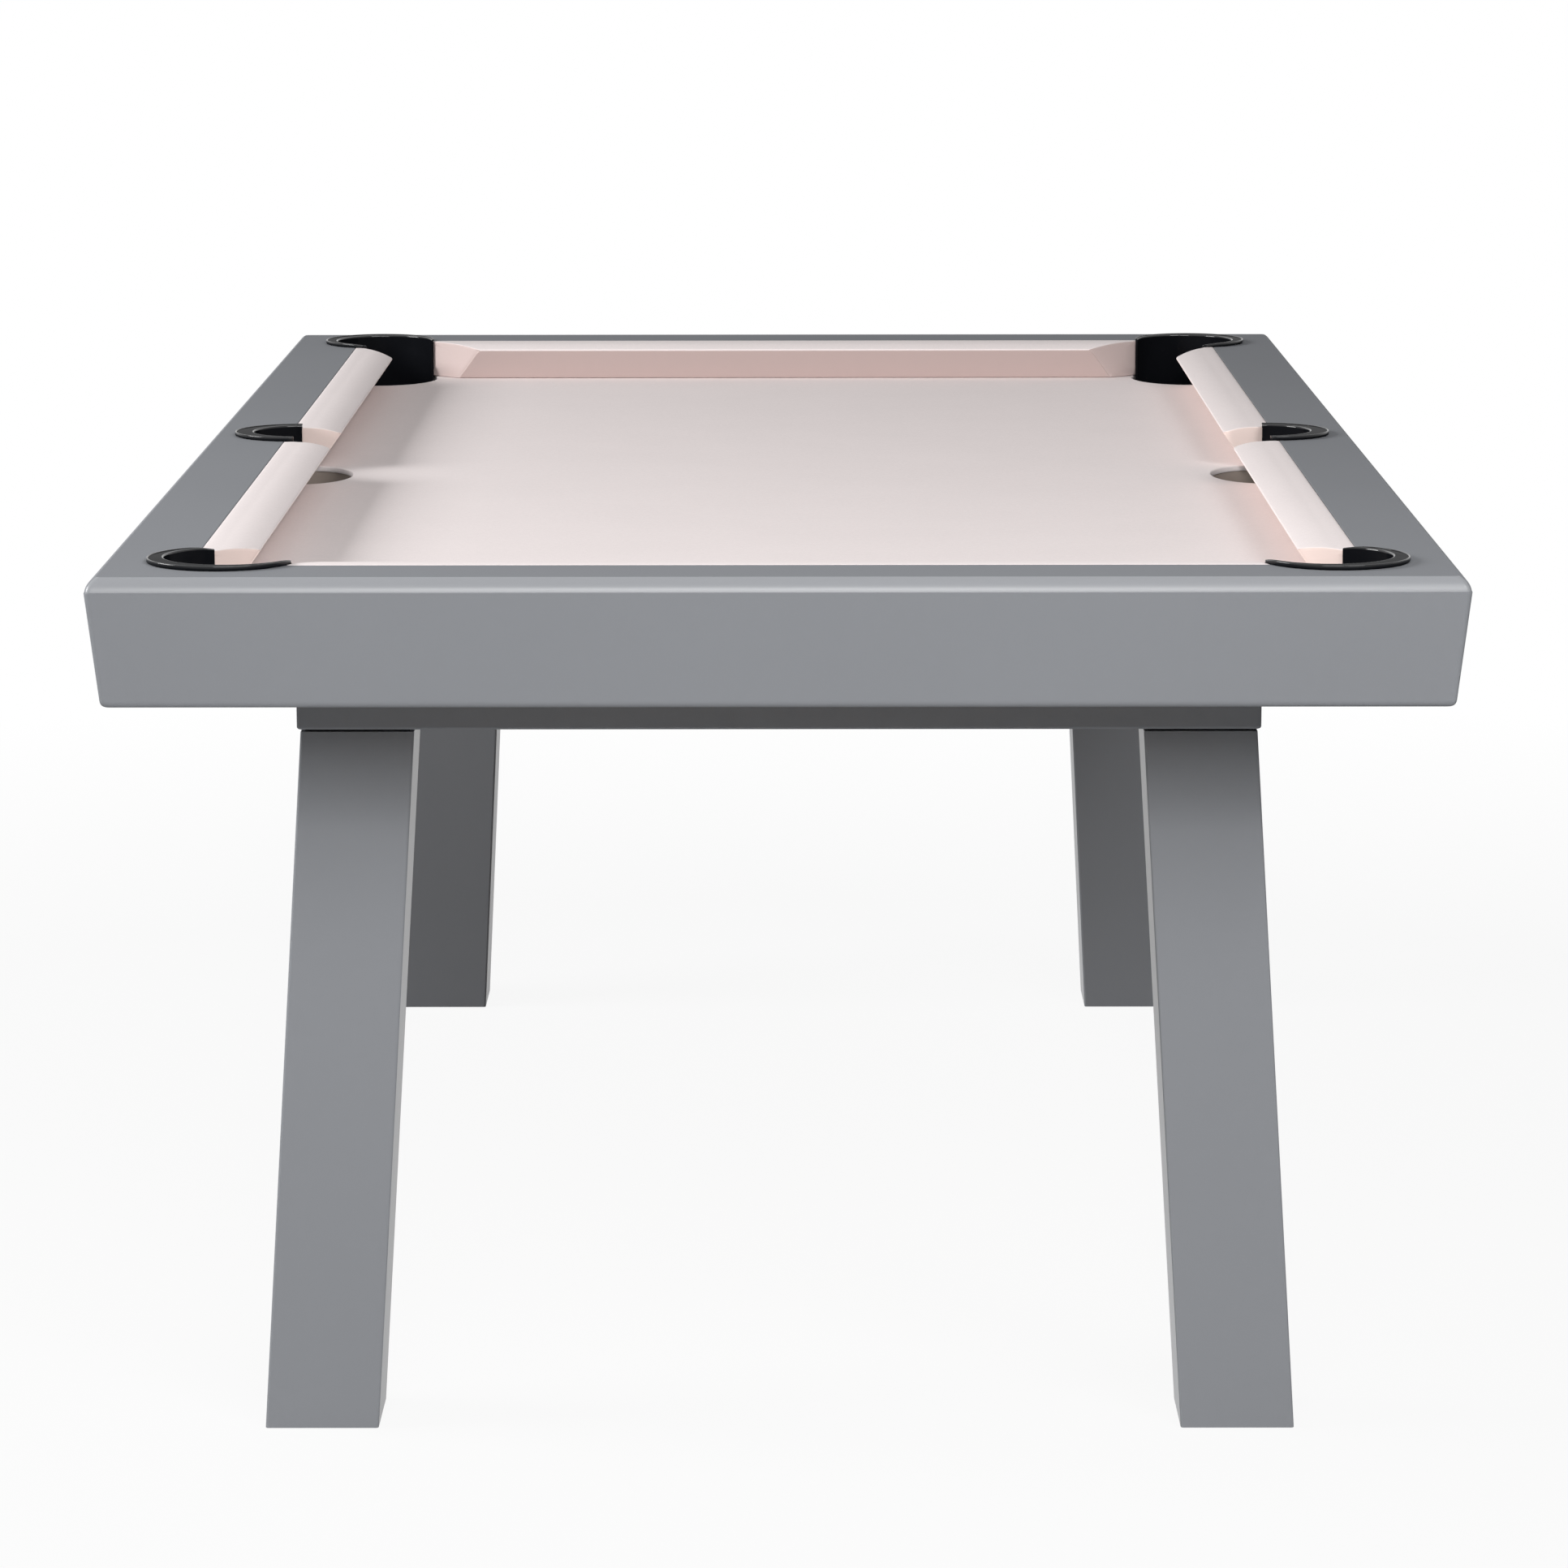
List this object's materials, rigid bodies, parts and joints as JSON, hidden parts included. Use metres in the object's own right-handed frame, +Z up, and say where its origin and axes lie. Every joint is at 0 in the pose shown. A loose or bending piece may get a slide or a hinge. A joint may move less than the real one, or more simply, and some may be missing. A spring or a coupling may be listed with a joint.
{
  "type": "pool table",
  "caption": "Pool table on splayed block legs: mitred bullnose rails over tapered aprons, cloth-covered cushions and bed, moulded drop pockets at corners and sides, recessed levelers.",
  "frame": {"origin": "on the floor under the middle of the table", "axes": "+X towards the table's right side, +Y along its length from the front end to the back end, +Z up"},
  "size_m": [1.2692, 2.2598, 0.851],
  "materials": {
    "grey_paint": "satin grey lacquer over timber board",
    "black_moulding": "semi-gloss moulded plastic",
    "cloth": "close-cropped woven wool cloth, pale pinkish beige",
    "slab_board": "raw fibreboard",
    "timber": "planed softwood",
    "steel": "zinc-plated",
    "pad_plastic": "matte nylon"
  },
  "bodies": {
    "table": {"bed_slab": "slab_board", "bed_cloth": "cloth", "front_cross_beam": "timber", "middle_cross_beam": "timber", "back_cross_beam": "timber", "left_rail": "grey_paint", "left_apron": "grey_paint", "left_frame_beam": "grey_paint", "left_side_pocket": "black_moulding", "right_rail": "grey_paint", "right_apron": "grey_paint", "right_frame_beam": "grey_paint", "right_side_pocket": "black_moulding", "front_rail": "grey_paint", "front_apron": "grey_paint", "front_frame_beam": "grey_paint", "front_end_cushion": "cloth", "back_rail": "grey_paint", "back_apron": "grey_paint", "back_frame_beam": "grey_paint", "back_end_cushion": "cloth", "front_left_leg": "grey_paint", "front_left_leg_plate": "steel", "front_left_leg_bolt": "steel", "front_left_corner_block": "timber", "front_left_leveler_insert": "steel", "front_left_side_cushion": "cloth", "front_left_corner_pocket": "black_moulding", "front_right_leg": "grey_paint", "front_right_leg_plate": "steel", "front_right_leg_bolt": "steel", "front_right_corner_block": "timber", "front_right_leveler_insert": "steel", "front_right_side_cushion": "cloth", "front_right_corner_pocket": "black_moulding", "back_left_leg": "grey_paint", "back_left_leg_plate": "steel", "back_left_leg_bolt": "steel", "back_left_corner_block": "timber", "back_left_leveler_insert": "steel", "back_left_side_cushion": "cloth", "back_left_corner_pocket": "black_moulding", "back_right_leg": "grey_paint", "back_right_leg_plate": "steel", "back_right_leg_bolt": "steel", "back_right_corner_block": "timber", "back_right_leveler_insert": "steel", "back_right_side_cushion": "cloth", "back_right_corner_pocket": "black_moulding"},
    "front_left_pad": {"front_left_leveler_pad": "pad_plastic"},
    "front_left_stud": {"front_left_leveler_stud": "steel"},
    "front_right_pad": {"front_right_leveler_pad": "pad_plastic"},
    "front_right_stud": {"front_right_leveler_stud": "steel"},
    "back_left_pad": {"back_left_leveler_pad": "pad_plastic"},
    "back_left_stud": {"back_left_leveler_stud": "steel"},
    "back_right_pad": {"back_right_leveler_pad": "pad_plastic"},
    "back_right_stud": {"back_right_leveler_stud": "steel"}
  },
  "joints": [
    {"name": "front_left_pad_slide", "type": "slide", "parent": "table", "child": "front_left_pad", "axis": [0, 0, -1], "range_m": [0, 0.012]},
    {"name": "front_left_stud_spin", "type": "hinge", "parent": "front_left_pad", "child": "front_left_stud", "pos_m": [-0.4407, -0.9391, 0], "axis": [0, 0, -1], "range_deg": [0, 2880]},
    {"name": "front_right_pad_slide", "type": "slide", "parent": "table", "child": "front_right_pad", "axis": [0, 0, -1], "range_m": [0, 0.012]},
    {"name": "front_right_stud_spin", "type": "hinge", "parent": "front_right_pad", "child": "front_right_stud", "pos_m": [0.4407, -0.9391, 0], "axis": [0, 0, -1], "range_deg": [0, 2880]},
    {"name": "back_left_pad_slide", "type": "slide", "parent": "table", "child": "back_left_pad", "axis": [0, 0, -1], "range_m": [0, 0.012]},
    {"name": "back_left_stud_spin", "type": "hinge", "parent": "back_left_pad", "child": "back_left_stud", "pos_m": [-0.4407, 0.9391, 0], "axis": [0, 0, -1], "range_deg": [0, 2880]},
    {"name": "back_right_pad_slide", "type": "slide", "parent": "table", "child": "back_right_pad", "axis": [0, 0, -1], "range_m": [0, 0.012]},
    {"name": "back_right_stud_spin", "type": "hinge", "parent": "back_right_pad", "child": "back_right_stud", "pos_m": [0.4407, 0.9391, 0], "axis": [0, 0, -1], "range_deg": [0, 2880]}
  ],
  "couplings": [
    {"joint": "front_left_stud_spin", "follows": "front_left_pad_slide", "rad_per_m": 4188.8},
    {"joint": "front_right_stud_spin", "follows": "front_right_pad_slide", "rad_per_m": 4188.8},
    {"joint": "back_left_stud_spin", "follows": "back_left_pad_slide", "rad_per_m": 4188.8},
    {"joint": "back_right_stud_spin", "follows": "back_right_pad_slide", "rad_per_m": 4188.8}
  ]
}
